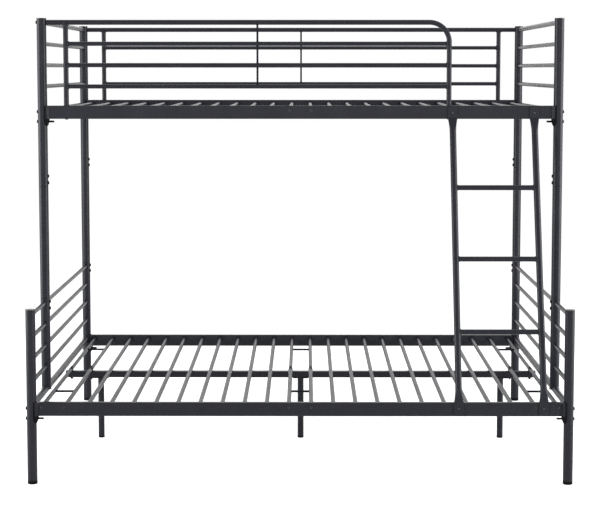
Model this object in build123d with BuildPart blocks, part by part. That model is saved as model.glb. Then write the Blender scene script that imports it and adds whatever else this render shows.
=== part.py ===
from build123d import *
import math
import os

os.makedirs("parts", exist_ok=True)

# Steel bunk bed, a narrow deck over a wide one, bolted together from welded tube frames.
# Lengths are in millimetres: X runs along the bed, Y from the front to the wall side, Z up.
# Round tubes are drawn with flat sides, because the bed has so many that it would be heavy to show.

# Flat sides of each kind of round
post_sides = 16
bar_sides = 12
thin_bar_sides = 8
head_sides = 8
bolt_sides = 6
plug_sides = 6

# Driving sizes, centre to centre
bed_spacing = 1945.0  # left posts to right posts
full_spacing = 1390.0  # lower front posts to rear posts
twin_spacing = 1076.0  # upper front posts to rear posts
clearance_height = 251.0  # floor to the underside of the lower side rails
deck_spacing = 1064.5  # lower side rails to upper side rails

# Posts and the tubes that join them
post_d = 36.0
post_wall = 1.5
spigot_length = 56.0
spigot_clearance = 0.15
lower_seam_rise = 16.5  # above the top bar of the lower end frames
short_post_rise = 20.0
upper_seam_drop = 254.5  # below the upper side rails
tall_post_rise = 11.8  # above the top bar of the upper end frames

# Caps and feet
cap_height = 4.5
cap_rim = 0.7
plug_length = 8.0
plug_clearance = 0.2
foot_height = 7.0

# End frames
end_rail_d = 25.0
end_bar_d = 16.0
top_bar_d = 19.0
lower_end_rail_rise = 32.5  # above the underside of the side rails
upper_end_rail_rise = 26.7
lower_bar_rise = 88.3  # lowest bar above the end rail
lower_bar_pitch = 81.4
bar_count = 3
weld_gap = 0.1  # the hair's breadth that a weld fills between two tubes
stub_seat_share = 0.5  # how far up the end rail's round the middle stub starts

# Side rails with their saddle brackets
rail_height = 50.0
rail_thick = 20.0
rail_wall = 1.5
saddle_depth = 10.5
saddle_width = 26.0
saddle_drop = 27.0
saddle_nose = 7.0
saddle_wrap = 46.0  # degrees each way round the post

# Slats and the cross frames that are bolted in
slat_count = 24
slat_end_gap = 37.5  # from the first slat to the end posts' centres
slat_d = 16.0
slat_drop = 18.0  # slat centre below the rail's top
inner_slat_d = 13.0
telescope_clearance = 0.2
telescope_seam_y = -12.0
telescope_overlap = 150.0
wire_d = 7.0
wire_share = 0.308
frame_pairs = ((0, 1), (11, 12), (22, 23))
pair_names = ("left", "middle", "right")

# Centre rail and its legs
centre_rail_width = 25.0
centre_rail_height = 25.0
centre_rail_wall = 1.5
centre_rail_end_gap = 19.5
leg_end_gap = 157.5
leg_d = 25.0
leg_plate_length = 64.0
leg_plate_width = 30.0
leg_plate_thick = 3.0

# Guards on the upper deck
guard_tube_d = 19.0
guard_height = 312.2  # side rail's top to the middle of the top tube
guard_bend_share = 0.24
guard_bar_pitch_share = 0.2565
entry_width = 412.5  # from the guard's open end to the end posts' centres
guard_upright_gap = 90.5
guard_rod_d = 6.0

# Ladder
ladder_end_gap = 245.2  # from the ladder's middle to the end posts' centres
ladder_spacing = 307.4
stile_d = 24.4
stile_top_rise = 23.0  # upper bolts above the underside of the upper side rail
stile_foot_rise = 29.0
rung_d = 19.0
rung_low_share = 0.2524
rung_pitch_share = 0.2434
rung_count = 3
plate_width = 35.0
plate_thick = 4.0
plate_length = 23.0  # from the bolt to where the flattened end starts to swell
crimp_length = 62.0
crimp_share = 0.45  # where along the crimp its middle section stands

# Bolts
bolt_d = 8.0
bolt_clearance = 0.2
head_d = 12.5
head_height = 3.8
head_taper = 30.0
rail_bolt_low = -10.0  # from the rail's underside
rail_bolt_high = 27.0
rail_bolt_length = 62.0
joint_bolt_near = 12.5  # from the seam
joint_bolt_far = 38.0
joint_bolt_length = 14.0
guard_bolt_depth = 18.0
ladder_bolt_length = 16.0
overrun = 5.0  # how far a cut runs past what it cuts

# Sizes that follow
post_r = post_d / 2
post_bore_r = post_r - post_wall
plug_r = post_bore_r * math.cos(math.pi / post_sides) - plug_clearance
post_x = bed_spacing / 2
full_front_y = -full_spacing / 2
rear_y = full_spacing / 2
twin_front_y = rear_y - twin_spacing
rail_end_x = post_x - post_r - saddle_depth

lower_rail_z = clearance_height
lower_end_rail_z = lower_rail_z + lower_end_rail_rise
lower_bar_low_z = lower_end_rail_z + lower_bar_rise
lower_bar_zs = [lower_bar_low_z + lower_bar_pitch * i for i in range(bar_count + 1)]
lower_seam_z = lower_bar_zs[-1] + lower_seam_rise
short_post_top_z = lower_bar_zs[-1] + short_post_rise

upper_rail_z = lower_rail_z + deck_spacing
upper_seam_z = upper_rail_z - upper_seam_drop
upper_end_rail_z = upper_rail_z + upper_end_rail_rise
rail_top_z = upper_rail_z + rail_height
guard_top_z = rail_top_z + guard_height
guard_bar_pitch = guard_height * guard_bar_pitch_share
upper_bar_zs = [guard_top_z - guard_bar_pitch * (bar_count - i) for i in range(bar_count)]
upper_post_top_z = guard_top_z + tall_post_rise

lower_slat_z = lower_rail_z + rail_height - slat_drop
upper_slat_z = upper_rail_z + rail_height - slat_drop
slat_span = bed_spacing - slat_end_gap * 2
slat_pitch = slat_span / (slat_count - 1)
slat_xs = [slat_pitch * i - slat_span / 2 for i in range(slat_count)]
wire_y = full_spacing * wire_share

centre_rail_length = bed_spacing - centre_rail_end_gap * 2
centre_rail_top_z = lower_slat_z - slat_d / 2
centre_rail_z = centre_rail_top_z - centre_rail_height
leg_xs = (leg_end_gap - post_x, 0, post_x - leg_end_gap)

guard_r = guard_tube_d / 2
guard_end_x = post_x - entry_width
guard_upright_x = post_x - guard_upright_gap
front_rod_x = (guard_end_x - guard_upright_x) / 2

ladder_centre_x = post_x - ladder_end_gap
stile_top_z = upper_rail_z + stile_top_rise
stile_foot_z = lower_rail_z + stile_foot_rise
stile_rise = stile_top_z - stile_foot_z
rung_low_z = stile_foot_z + stile_rise * rung_low_share
rung_zs = [rung_low_z + stile_rise * rung_pitch_share * i for i in range(rung_count)]
sides = {"left": -1, "right": 1}


# Basic shapes, each added to or cut from the part in hand


def rods_x(places, x_from, x_to, radius, mode=Mode.ADD, side_count=bar_sides):
    """Round bars along X through each (y, z)."""
    with BuildSketch(Plane.YZ.offset(x_from)) as section:
        with Locations(*places):
            RegularPolygon(radius, side_count)
    extrude(section.sketch, amount=x_to - x_from, mode=mode)


def rods_y(places, y_from, y_to, radius, mode=Mode.ADD, side_count=bar_sides):
    """Round bars along Y through each (x, z)."""
    with BuildSketch(Plane.XZ.offset(-y_to)) as section:
        with Locations(*places):
            RegularPolygon(radius, side_count)
    extrude(section.sketch, amount=y_to - y_from, mode=mode)


def rods_z(places, z_from, z_to, radius, mode=Mode.ADD, side_count=bar_sides):
    """Round bars along Z through each (x, y)."""
    with BuildSketch(Plane.XY.offset(z_from)) as section:
        with Locations(*places):
            RegularPolygon(radius, side_count)
    extrude(section.sketch, amount=z_to - z_from, mode=mode)


def slat_rods(xs, z, y_from, y_to, diameter, mode=Mode.ADD):
    """Cross slats along Y at each x."""
    rods_y([(x, z) for x in xs], y_from, y_to, diameter / 2, mode, thin_bar_sides)


def post(x, y, z_from, z_to):
    """A post's round tube, standing on end."""
    with BuildSketch(Plane.XY.offset(z_from)) as section:
        with Locations((x, y)):
            RegularPolygon(post_r, post_sides)
            RegularPolygon(post_bore_r, post_sides, mode=Mode.SUBTRACT)
    extrude(section.sketch, amount=z_to - z_from)


def clear_of_posts(places, z_from, z_to):
    """Cuts what reaches into a post back to its face, which copes the ends of the bars."""
    rods_z(places, z_from, z_to, post_r + weld_gap, Mode.SUBTRACT, post_sides)


def bolt(seat, length):
    """A domed bolt whose head stands on the seat plane and whose shank runs behind it."""
    with BuildSketch(seat) as head:
        RegularPolygon(head_d / 2, head_sides)
    extrude(head.sketch, amount=head_height, taper=head_taper)
    with BuildSketch(seat) as shank:
        RegularPolygon(bolt_d / 2, bolt_sides)
    extrude(shank.sketch, amount=-length)


def bolt_hole(seat, depth):
    """The hole that a bolt on the same seat runs through."""
    with BuildSketch(seat.offset(overrun)) as hole:
        RegularPolygon(bolt_d / 2 + bolt_clearance, bolt_sides)
    extrude(hole.sketch, amount=-depth - overrun, mode=Mode.SUBTRACT)


def seat_x(x, y, z, way):
    """A bolt's seat that faces along X."""
    return Plane(origin=(x, y, z), x_dir=(0, 1, 0), z_dir=(way, 0, 0))


def finish(piece, name):
    piece.part.label = name
    export_step(piece.part, f"parts/{name}.step")


# Where the bolts sit


def rail_bolt_seats(side, y, rail_z):
    """Two bolts through a post into a side rail's saddle, heads on the outside."""
    x = side * (post_x + post_r)
    return [seat_x(x, y, rail_z + rise, side) for rise in (rail_bolt_low, rail_bolt_high)]


def joint_bolt_seats(side, y, seam_z, way):
    """Two bolts into an extension's spigot, heads on the inside, way up or down from the seam."""
    x = side * (post_x - post_r)
    return [seat_x(x, y, seam_z + way * rise, -side) for rise in (joint_bolt_near, joint_bolt_far)]


def guard_bolt_seat(side, y):
    """The bolt through a post's head into the end of a guard's top tube."""
    return seat_x(side * (post_x + post_r), y, guard_top_z, side)


def ladder_bolt_seat(x, y, z):
    """The bolt through a stile's flattened end into the front face of a side rail."""
    face_y = y - rail_thick / 2 - plate_thick
    return Plane(origin=(x, face_y, z), x_dir=(1, 0, 0), z_dir=(0, -1, 0))


stile_xs = (ladder_centre_x - ladder_spacing / 2, ladder_centre_x + ladder_spacing / 2)
ladder_seats = [ladder_bolt_seat(x, twin_front_y, stile_top_z) for x in stile_xs]
ladder_seats += [ladder_bolt_seat(x, full_front_y, stile_foot_z) for x in stile_xs]


# End frames: tubes coped to the posts and welded


def upper_end_frame(side):
    x = side * post_x
    posts = [(x, twin_front_y), (x, rear_y)]
    with BuildPart() as frame:
        bars = [(x, z) for z in upper_bar_zs]
        rods_y(bars, twin_front_y, rear_y, end_bar_d / 2, side_count=thin_bar_sides)
        rods_y([(x, guard_top_z)], twin_front_y, rear_y, top_bar_d / 2)
        rods_y([(x, upper_end_rail_z)], twin_front_y, rear_y, end_rail_d / 2)
        clear_of_posts(posts, upper_seam_z, upper_post_top_z)
        for place in posts:
            post(*place, upper_seam_z, upper_post_top_z)
        for y in (twin_front_y, rear_y):
            for seat in rail_bolt_seats(side, y, upper_rail_z):
                bolt_hole(seat, post_d)
            for seat in joint_bolt_seats(side, y, upper_seam_z, 1):
                bolt_hole(seat, post_r)
        if side < 0:
            bolt_hole(guard_bolt_seat(side, twin_front_y), post_d)
        bolt_hole(guard_bolt_seat(side, rear_y), post_d)
    return frame


def lower_end_frame(side):
    x = side * post_x
    stub_z = lower_end_rail_z + end_rail_d / 2 * stub_seat_share
    with BuildPart() as frame:
        bars = [(x, z) for z in lower_bar_zs]
        rods_y(bars, full_front_y, rear_y, end_bar_d / 2, side_count=thin_bar_sides)
        clear_of_posts([(x, twin_front_y)], stub_z, lower_seam_z)
        post(x, twin_front_y, stub_z, lower_seam_z)
        rods_y(
            [(x, lower_end_rail_z)],
            full_front_y,
            rear_y,
            end_rail_d / 2 + weld_gap,
            Mode.SUBTRACT,
        )
        rods_y([(x, lower_end_rail_z)], full_front_y, rear_y, end_rail_d / 2)
        ends = [(x, full_front_y), (x, rear_y)]
        clear_of_posts(ends, 0, short_post_top_z)
        post(x, full_front_y, foot_height, short_post_top_z)
        post(x, rear_y, foot_height, lower_seam_z)
        for y in (full_front_y, rear_y):
            for seat in rail_bolt_seats(side, y, lower_rail_z):
                bolt_hole(seat, post_d)
        for y in (twin_front_y, rear_y):
            for seat in joint_bolt_seats(side, y, lower_seam_z, -1):
                bolt_hole(seat, post_r)
    return frame


for side_name, side in sides.items():
    finish(upper_end_frame(side), f"upper_{side_name}_end_frame")
    finish(lower_end_frame(side), f"lower_{side_name}_end_frame")


# Extension tubes between the end frames, with a narrower spigot at each end


def post_extension(side, y):
    x = side * post_x
    spigot_r = post_bore_r - spigot_clearance
    low = lower_seam_z - spigot_length
    high = upper_seam_z + spigot_length
    with BuildPart() as extension:
        rods_z([(x, y)], lower_seam_z, upper_seam_z, post_r, side_count=post_sides)
        rods_z([(x, y)], low, high, spigot_r, side_count=post_sides)
        rods_z([(x, y)], low, high, spigot_r - post_wall, Mode.SUBTRACT, post_sides)
        for seat in joint_bolt_seats(side, y, upper_seam_z, 1):
            bolt_hole(seat, post_r)
        for seat in joint_bolt_seats(side, y, lower_seam_z, -1):
            bolt_hole(seat, post_r)
    return extension


for side_name, side in sides.items():
    for row_name, row_y in (("front", twin_front_y), ("rear", rear_y)):
        finish(post_extension(side, row_y), f"{row_name}_{side_name}_post_extension")


# Side rails: an oblong tube with a saddle bracket that hugs the post at each end


def saddle(side, y, rail_z):
    """Adds one saddle: a half-round seat for the post, a flat back for the rail, a tapered chin."""
    lip = post_r * math.cos(math.radians(saddle_wrap))
    back = post_r + saddle_depth
    bottom = rail_z - saddle_drop
    with BuildSketch(Plane((side * post_x, y, bottom), x_dir=(-side, 0, 0), z_dir=(0, 0, 1))) as seat:
        with BuildLine():
            Polyline(
                (lip, -saddle_width / 2),
                (post_r, -saddle_width / 2),
                (back, -rail_thick / 2),
                (back, rail_thick / 2),
                (post_r, saddle_width / 2),
                (lip, saddle_width / 2),
                close=True,
            )
        make_face()
        RegularPolygon(post_r + weld_gap, post_sides, mode=Mode.SUBTRACT)
    extrude(seat.sketch, amount=saddle_drop + rail_height)
    with BuildSketch(Plane.XZ.offset(-y - saddle_width)) as chin:
        with BuildLine():
            Polyline(
                (side * (post_x - post_r), bottom),
                (side * (post_x - back), rail_z - saddle_nose),
                (side * (post_x - back), bottom),
                close=True,
            )
        make_face()
    extrude(chin.sketch, amount=saddle_width * 2, both=True, mode=Mode.SUBTRACT)


def side_rail(y, rail_z, ladder_seats_here=()):
    half = rail_end_x - weld_gap
    with BuildPart() as rail:
        with BuildSketch(Plane.YZ.offset(-half)):
            with Locations((y, rail_z + rail_height / 2)):
                Rectangle(rail_thick, rail_height)
                Rectangle(rail_thick - rail_wall * 2, rail_height - rail_wall * 2, mode=Mode.SUBTRACT)
        extrude(amount=half * 2)
        for side in sides.values():
            saddle(side, y, rail_z)
            for seat in rail_bolt_seats(side, y, rail_z):
                bolt_hole(seat, post_d + saddle_depth)
        for seat in ladder_seats_here:
            bolt_hole(seat, plate_thick + rail_thick / 2)
    return rail


finish(side_rail(twin_front_y, upper_rail_z, ladder_seats[:2]), "upper_front_side_rail")
finish(side_rail(rear_y, upper_rail_z), "upper_rear_side_rail")
finish(side_rail(full_front_y, lower_rail_z, ladder_seats[2:]), "lower_front_side_rail")
finish(side_rail(rear_y, lower_rail_z), "lower_rear_side_rail")


# Slats across both decks, their ends against the inner faces of the side rails

paired = [i for pair in frame_pairs for i in pair]
plain_xs = [x for i, x in enumerate(slat_xs) if i not in paired]
slat_rear_y = rear_y - rail_thick / 2
lower_slat_front_y = full_front_y + rail_thick / 2
upper_slat_front_y = twin_front_y + rail_thick / 2

with BuildPart() as lower_slats:
    slat_rods(plain_xs, lower_slat_z, lower_slat_front_y, slat_rear_y, slat_d)
finish(lower_slats, "lower_slats")

with BuildPart() as upper_slats:
    slat_rods(slat_xs, upper_slat_z, upper_slat_front_y, slat_rear_y, slat_d)
finish(upper_slats, "upper_slats")


def cross_wire(xs, y, z, tube_d):
    """A thin wire from one tube of a cross frame to the other."""
    reach = tube_d / 2 + weld_gap
    with BuildSketch(Plane.YZ.offset(xs[0] + reach)) as section:
        with Locations((y, z)):
            RegularPolygon(wire_d / 2, bolt_sides)
    extrude(section.sketch, amount=xs[1] - xs[0] - reach * 2)


# Cross frames of the lower deck: the thinner rear half slides into the front half

bore_d = inner_slat_d + telescope_clearance * 2
bore_y = telescope_seam_y - telescope_overlap
for pair, pair_name in zip(frame_pairs, pair_names):
    pair_xs = [slat_xs[i] for i in pair]
    with BuildPart() as front_half:
        slat_rods(pair_xs, lower_slat_z, lower_slat_front_y, telescope_seam_y, slat_d)
        slat_rods(pair_xs, lower_slat_z, bore_y, telescope_seam_y, bore_d, Mode.SUBTRACT)
        cross_wire(pair_xs, -wire_y, lower_slat_z, slat_d)
    finish(front_half, f"{pair_name}_cross_frame_front")
    with BuildPart() as rear_half:
        slat_rods(pair_xs, lower_slat_z, bore_y, slat_rear_y, inner_slat_d)
        cross_wire(pair_xs, wire_y, lower_slat_z, inner_slat_d)
    finish(rear_half, f"{pair_name}_cross_frame_rear")


# Centre rail under the lower slats, and the legs bolted up to it

centre_rail_mid_z = centre_rail_z + centre_rail_height / 2
with BuildPart() as centre_rail:
    with BuildSketch(Plane.YZ.offset(-centre_rail_length / 2)):
        with Locations((0, centre_rail_mid_z)):
            Rectangle(centre_rail_width, centre_rail_height)
            Rectangle(
                centre_rail_width - centre_rail_wall * 2,
                centre_rail_height - centre_rail_wall * 2,
                mode=Mode.SUBTRACT,
            )
    extrude(amount=centre_rail_length)
finish(centre_rail, "centre_rail")


for leg_x, leg_name in zip(leg_xs, pair_names):
    with BuildPart() as leg:
        rods_z([(leg_x, 0)], foot_height, centre_rail_z - leg_plate_thick, leg_d / 2)
        with BuildSketch(Plane.XY.offset(centre_rail_z - leg_plate_thick)):
            with Locations((leg_x, 0)):
                Rectangle(leg_plate_length, leg_plate_width)
        extrude(amount=leg_plate_thick)
    finish(leg, f"{leg_name}_centre_leg")


# Guards of the upper deck

def guard_infill(xs, y, rod_x):
    """Adds the three bars between two uprights, and the thin rod that ties them to the top tube."""
    bars = [(y, z) for z in upper_bar_zs]
    top = [(y, guard_top_z)]
    rods_z([(rod_x, y)], upper_bar_zs[0], guard_top_z, guard_rod_d / 2)
    rods_x(bars, xs[0], xs[1], end_bar_d / 2 + weld_gap, Mode.SUBTRACT)
    rods_x(top, xs[0], xs[1], guard_r + weld_gap, Mode.SUBTRACT)
    rods_x(bars, xs[0], xs[1], end_bar_d / 2, side_count=thin_bar_sides)
    rods_z([(x, y) for x in xs], rail_top_z, guard_top_z, guard_r + weld_gap, Mode.SUBTRACT)


with BuildPart() as front_guard:
    guard_infill((-guard_upright_x, guard_end_x), twin_front_y, front_rod_x)
    rods_z([(-guard_upright_x, twin_front_y)], rail_top_z, guard_top_z, guard_r)
    guard_bend_radius = guard_height * guard_bend_share
    straight_end_x = guard_end_x - guard_bend_radius
    rods_x([(twin_front_y, guard_top_z)], -post_x, straight_end_x, guard_r + weld_gap, Mode.SUBTRACT)
    with BuildLine(Plane.XZ.offset(-twin_front_y)) as guard_path:
        FilletPolyline(
            (-post_x, guard_top_z),
            (guard_end_x, guard_top_z),
            (guard_end_x, rail_top_z),
            radius=guard_bend_radius,
        )
    with BuildSketch(Plane.YZ.offset(-post_x)):
        with Locations((twin_front_y, guard_top_z)):
            RegularPolygon(guard_r, bar_sides)
    sweep(path=guard_path.line)
    clear_of_posts([(-post_x, twin_front_y)], rail_top_z, upper_post_top_z)
    bolt_hole(guard_bolt_seat(-1, twin_front_y), post_d + guard_bolt_depth)
finish(front_guard, "front_guard")

with BuildPart() as rear_guard:
    guard_infill((-guard_upright_x, guard_upright_x), rear_y, 0)
    rods_z([(s * guard_upright_x, rear_y) for s in sides.values()], rail_top_z, guard_top_z, guard_r)
    rods_x([(rear_y, guard_top_z)], -post_x, post_x, guard_r + weld_gap, Mode.SUBTRACT)
    rods_x([(rear_y, guard_top_z)], -post_x, post_x, guard_r)
    clear_of_posts([(s * post_x, rear_y) for s in sides.values()], rail_top_z, upper_post_top_z)
    for s in sides.values():
        bolt_hole(guard_bolt_seat(s, rear_y), post_d + guard_bolt_depth)
finish(rear_guard, "rear_guard")


# Ladder: round stiles whose ends are pressed flat against the rails, with three rungs

plate_top_y = twin_front_y - rail_thick / 2 - plate_thick / 2
plate_foot_y = full_front_y - rail_thick / 2 - plate_thick / 2
swell_top = Vector(0, plate_top_y, stile_top_z - plate_length)
swell_foot = Vector(0, plate_foot_y, stile_foot_z + plate_length)
lean = (swell_top - swell_foot).normalized()


def stile_section(plane, share):
    """The stile's outline where it is this share of the way from flat to round."""
    half_width = plate_width / 2 + (stile_d - plate_width) / 2 * share
    half_thick = plate_thick / 2 + (stile_d - plate_thick) / 2 * share
    turns = [math.tau * i / bar_sides for i in range(bar_sides)]
    with BuildSketch(plane) as section:
        Polygon(*[(half_width * math.cos(t), half_thick * math.sin(t)) for t in turns], align=None)
    return section.sketch


def stile_end(x, start, upright, inward):
    """Adds one pressed end: a crimp that swells from the flat plate, then half of the round tube."""
    sections = []
    for share in (0, crimp_share, 1):
        middle = start + inward * (crimp_length * share)
        normal = (upright * (1 - share) + inward * share).normalized()
        plane = Plane((x, middle.Y, middle.Z), x_dir=(1, 0, 0), z_dir=normal)
        sections.append(stile_section(plane, math.sin(math.pi / 2 * share)))
    loft(sections, ruled=True)
    half_length = (swell_top - swell_foot).length / 2 - crimp_length
    extrude(sections[-1], amount=half_length, dir=inward)


def stile_plate(x, y, z, way):
    """Adds the flat plate itself, rounded beyond the bolt."""
    with BuildSketch(Plane.XZ.offset(-y - plate_thick / 2)) as outline:
        with Locations((x, z)):
            RegularPolygon(plate_width / 2, bar_sides)
        with Locations((x, z - way * plate_length / 2)):
            Rectangle(plate_width, plate_length)
    extrude(outline.sketch, amount=plate_thick)


with BuildPart() as ladder:
    for x in stile_xs:
        stile_plate(x, plate_top_y, stile_top_z, 1)
        stile_end(x, swell_top, Vector(0, 0, -1), lean * -1)
        stile_plate(x, plate_foot_y, stile_foot_z, -1)
        stile_end(x, swell_foot, Vector(0, 0, 1), lean)
    for seat in ladder_seats:
        bolt_hole(seat, plate_thick)
finish(ladder, "ladder")

with BuildPart() as ladder_rungs:
    for z in rung_zs:
        share = (z - swell_foot.Z) / (swell_top.Z - swell_foot.Z)
        rung_y = swell_foot.Y + (swell_top.Y - swell_foot.Y) * share
        rods_x([(rung_y, z)], stile_xs[0], stile_xs[1], rung_d / 2)
    for x in stile_xs:
        with BuildSketch(Plane((x, swell_foot.Y, swell_foot.Z), x_dir=(1, 0, 0), z_dir=lean)):
            RegularPolygon(stile_d / 2 + weld_gap, bar_sides)
        extrude(amount=(swell_top - swell_foot).length, mode=Mode.SUBTRACT)
finish(ladder_rungs, "ladder_rungs")


# Caps, feet and plugs pressed into the open tubes


def cap(x, y, z):
    rods_z([(x, y)], z, z + cap_height, post_r + cap_rim, side_count=post_sides)
    rods_z([(x, y)], z - plug_length, z, plug_r, side_count=plug_sides)


with BuildPart() as post_caps:
    for s in sides.values():
        cap(s * post_x, twin_front_y, upper_post_top_z)
        cap(s * post_x, rear_y, upper_post_top_z)
        cap(s * post_x, full_front_y, short_post_top_z)
finish(post_caps, "post_caps")

with BuildPart() as post_feet:
    for s in sides.values():
        for y in (full_front_y, rear_y):
            place = [(s * post_x, y)]
            rods_z(place, 0, foot_height, post_r, side_count=post_sides)
            rods_z(place, foot_height, foot_height + plug_length, plug_r, side_count=plug_sides)
finish(post_feet, "post_feet")

with BuildPart() as leg_feet:
    rods_z([(x, 0) for x in leg_xs], 0, foot_height, leg_d / 2)
finish(leg_feet, "leg_feet")


# Bolts, one node for each kind

with BuildPart() as rail_bolts:
    for s in sides.values():
        for y, z in (
            (full_front_y, lower_rail_z),
            (rear_y, lower_rail_z),
            (twin_front_y, upper_rail_z),
            (rear_y, upper_rail_z),
        ):
            for seat in rail_bolt_seats(s, y, z):
                bolt(seat, rail_bolt_length)
finish(rail_bolts, "rail_bolts")

with BuildPart() as post_joint_bolts:
    for s in sides.values():
        for y in (twin_front_y, rear_y):
            for seat in joint_bolt_seats(s, y, upper_seam_z, 1):
                bolt(seat, joint_bolt_length)
            for seat in joint_bolt_seats(s, y, lower_seam_z, -1):
                bolt(seat, joint_bolt_length)
finish(post_joint_bolts, "post_joint_bolts")

with BuildPart() as guard_end_bolts:
    bolt(guard_bolt_seat(-1, twin_front_y), post_d + guard_bolt_depth - bolt_clearance)
    for s in sides.values():
        bolt(guard_bolt_seat(s, rear_y), post_d + guard_bolt_depth - bolt_clearance)
finish(guard_end_bolts, "guard_end_bolts")

with BuildPart() as ladder_bolts:
    for seat in ladder_seats:
        bolt(seat, ladder_bolt_length)
finish(ladder_bolts, "ladder_bolts")
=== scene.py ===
import math

import bmesh
import bpy
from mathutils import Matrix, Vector, noise


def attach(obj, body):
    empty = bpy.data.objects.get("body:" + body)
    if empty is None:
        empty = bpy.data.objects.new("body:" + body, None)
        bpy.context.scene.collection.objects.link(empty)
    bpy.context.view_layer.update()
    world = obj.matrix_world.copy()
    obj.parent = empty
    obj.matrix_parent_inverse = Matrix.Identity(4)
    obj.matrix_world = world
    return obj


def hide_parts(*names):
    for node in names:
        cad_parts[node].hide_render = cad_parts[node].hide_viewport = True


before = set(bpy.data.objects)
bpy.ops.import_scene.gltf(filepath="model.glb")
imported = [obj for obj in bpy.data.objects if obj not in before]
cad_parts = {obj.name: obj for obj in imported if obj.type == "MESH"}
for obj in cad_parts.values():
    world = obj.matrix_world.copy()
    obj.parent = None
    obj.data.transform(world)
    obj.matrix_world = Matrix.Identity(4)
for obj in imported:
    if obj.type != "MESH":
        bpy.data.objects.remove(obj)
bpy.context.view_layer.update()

# Steel bunk bed. Sizes are in millimetres, in the same frame as the solids that the pieces replace.
# The bed runs along X and its front faces -Y.

# Spacings, centre to centre
bed_spacing = 1945.0
full_spacing = 1390.0
twin_spacing = 1076.0
deck_spacing = 1064.5
post_x = bed_spacing / 2
full_front_y = -full_spacing / 2
rear_y = full_spacing / 2
twin_front_y = rear_y - twin_spacing
sides = {"left": -1, "right": 1}

# Side rails
rail_height = 50.0
rail_thick = 20.0
rail_corner = 2.4
rail_end_ease = 1.0
lower_rail_z = 251.0
upper_rail_z = lower_rail_z + deck_spacing
rail_top_z = upper_rail_z + rail_height

# End frames and guards
end_rail_r = 12.5
end_bar_r = 8.0
top_bar_r = 9.5
guard_r = 9.5
rod_r = 3.9
bar_sunk = 0.4
bar_count = 3
lower_end_rail_z = lower_rail_z + 32.5
upper_end_rail_z = upper_rail_z + 26.7
guard_top_z = rail_top_z + 312.2
lower_bar_low_z = lower_end_rail_z + 88.3
lower_bar_pitch = 81.4
upper_bar_pitch = 80.08
lower_bar_zs = [lower_bar_low_z + lower_bar_pitch * i for i in range(bar_count + 1)]
upper_bar_zs = [guard_top_z - upper_bar_pitch * (bar_count - i) for i in range(bar_count)]
stub_seat_share = 0.5
guard_bend = 74.9
guard_bend_steps = 24
guard_bend_lead = 2.0
guard_end_x = post_x - 412.5
guard_upright_x = post_x - 90.5

# Posts
post_r = 18.0
post_bore_r = 16.5
spigot_r = post_bore_r - 0.15
spigot_wall = 1.5
spigot_length = 56.0
tube_lip = 0.7
lower_seam_z = lower_bar_zs[-1] + 16.5
upper_seam_z = upper_rail_z - 254.5
short_post_top_z = lower_bar_zs[-1] + 20.0
upper_post_top_z = guard_top_z + 11.8

# Saddles, measured from the post's axis, with half widths
saddle_half = 16.0
rail_end_x = post_x - post_r - 10.5
saddle_plate_side = [
    (13.7, 15.2),
    (14.2, 15.9),
    (19.4, 15.9),
    (21.6, 15.0),
    (23.0, 13.4),
    (24.2, 11.4),
    (25.2, 10.4),
    (28.6, 10.1),
]
saddle_plate_hollow = [(20.7, -8), (21.8, 0), (20.7, 8)]
saddle_plate_levels = [  # rise above the rail's underside, trim of the half width
    (0.3, 0.6),
    (0.8, 0.1),
    (1.4, 0),
    (rail_height - 1.4, 0),
    (rail_height - 0.8, 0.1),
    (rail_height - 0.2, 0.6),
]
saddle_seat_levels = [  # rise above the rail's underside, depth, half width
    (-27.0, 18.6, 11.5),
    (-26.2, 19.3, 12.8),
    (-22.0, 21.0, 14.8),
    (-17.0, 22.8, 16.0),
    (-11.0, 24.2, 16.7),
    (-5.0, 25.0, 16.9),
    (-0.6, 25.2, 16.9),
    (-0.2, 21.6, 16.9),
    (1.0, 21.6, 16.9),
    (rail_height - 1.0, 21.6, 16.9),
    (rail_height - 0.2, 21.4, 16.6),
    (rail_height, 20.8, 16.0),
]

# Slats and the cross frames
slat_r = 8.0
inner_slat_r = 7.4
slat_count = 24
slat_end_gap = 37.5
slat_span = bed_spacing - slat_end_gap * 2
slat_xs = [slat_span / (slat_count - 1) * i - slat_span / 2 for i in range(slat_count)]
slat_drop = 18.0
slat_sunk = 0.5
lower_slat_z = lower_rail_z + rail_height - slat_drop
upper_slat_z = upper_rail_z + rail_height - slat_drop
frame_pairs = {"left": (0, 1), "middle": (11, 12), "right": (22, 23)}
paired_slats = [i for pair in frame_pairs.values() for i in pair]
telescope_seam_y = -12.0
telescope_bore = 30.0
telescope_lip = 0.8
telescope_gap = 0.2
telescope_reach = 28.0
collar_reach = 17.0
wire_r = 4.2
wire_y = 428.1

# Centre rail and legs
centre_rail_side = 25.0
centre_rail_corner = 2.0
centre_rail_z = lower_slat_z - slat_r - centre_rail_side
centre_rail_half = post_x - 19.5
plug_brim = 1.2
plug_corner = 3.2
plug_levels = [  # run past the rail's end, trim of the half side
    (-10, 3.6),
    (-0.2, 3.6),
    (0, 0.4),
    (0.4, 0),
    (3.0, 0),
    (3.9, 0.5),
    (4.4, 1.6),
]
leg_xs = {"left": 157.5 - post_x, "middle": 0.0, "right": post_x - 157.5}
leg_r = 12.5
leg_bead_line_r = leg_r + 0.4
leg_plate_length = 64.0
leg_plate_width = 30.0
leg_plate_thick = 3.0
leg_plate_corner = 5.0
leg_plate_ease = 0.5
leg_screw_x = 24.0

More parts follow.
